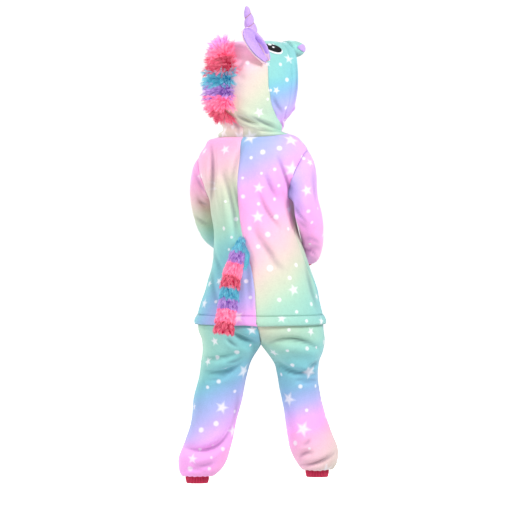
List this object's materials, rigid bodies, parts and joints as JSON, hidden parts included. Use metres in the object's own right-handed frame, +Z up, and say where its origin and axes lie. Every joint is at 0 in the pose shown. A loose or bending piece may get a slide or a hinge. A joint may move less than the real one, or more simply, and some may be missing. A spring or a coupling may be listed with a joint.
{
  "type": "unicorn onesie",
  "caption": "Child's hooded plush onesie worn and standing, back flap band, horn, ears, striped mane and tail, ribbed cuffs, buttoned front; empty inside",
  "frame": {"origin": "middle of the neck seam, where the garment hangs from the wearer's shoulders", "axes": "+Z up along the standing wearer, -Y the way the hips face, +X the wearer's left"},
  "size_m": [0.4005, 0.3682, 1.191],
  "materials": {
    "button": "pearly plastic",
    "ear_plush": "short pile plush, pale pink",
    "eye_black": "black embroidery",
    "eye_white": "white felt",
    "lilac_velour": "smooth lilac velour",
    "pile_blue": "long shaggy pile",
    "pile_lilac": "long shaggy pile",
    "pile_pink": "long shaggy pile",
    "pile_rose": "long shaggy pile",
    "pile_violet": "long shaggy pile",
    "plush_back_left": "short pile plush, pink to cream to mint print",
    "plush_back_right": "short pile plush, blue to pink to mint print",
    "plush_band_left": "short pile plush, lilac to pink print",
    "plush_band_right": "short pile plush, mint print",
    "plush_front_left": "short pile plush, pastel rainbow print",
    "plush_front_right": "short pile plush, pastel rainbow print",
    "plush_hood_back": "short pile plush, pink to cream to mint print",
    "plush_hood_front": "short pile plush, teal to blue to lilac print",
    "plush_legs": "short pile plush, teal to lilac to pink print",
    "plush_placket": "short pile plush",
    "plush_sleeves": "short pile plush, blue to pink print",
    "rib_cuff": "rose red rib knit"
  },
  "bodies": {
    "root": {"ankle_cuff_left": "rib_cuff", "ankle_cuff_right": "rib_cuff", "back_left": "plush_back_left", "back_right": "plush_back_right", "band_left": "plush_band_left", "band_right": "plush_band_right", "button_1": "button", "button_2": "button", "button_3": "button", "button_4": "button", "button_5": "button", "ear_inner_left": "lilac_velour", "ear_inner_right": "lilac_velour", "ear_outer_left": "ear_plush", "ear_outer_right": "ear_plush", "eye_left": "eye_white", "eye_right": "eye_white", "front_left": "plush_front_left", "front_right": "plush_front_right", "hood_back_left": "plush_hood_back", "hood_back_right": "plush_hood_back", "hood_front_left": "plush_hood_front", "hood_front_right": "plush_hood_front", "horn": "lilac_velour", "leg_back_left": "plush_legs", "leg_back_right": "plush_legs", "mane_blue": "pile_blue", "mane_candy": "pile_pink", "mane_crimson": "pile_rose", "mane_lilac": "pile_lilac", "mane_pink": "pile_pink", "mane_rose": "pile_rose", "mane_violet": "pile_violet", "muzzle": "plush_hood_front", "nostril_left": "lilac_velour", "nostril_right": "lilac_velour", "placket": "plush_placket", "pupil_left": "eye_black", "pupil_right": "eye_black", "sleeve_left": "plush_sleeves", "sleeve_right": "plush_sleeves", "tail_blue": "pile_blue", "tail_candy": "pile_pink", "tail_crimson": "pile_rose", "tail_pink": "pile_pink", "tail_plum": "pile_violet", "tail_rose": "pile_rose", "tail_sky": "pile_blue", "tail_violet": "pile_violet", "wrist_cuff_left": "rib_cuff", "wrist_cuff_right": "rib_cuff"}
  },
  "joints": []
}
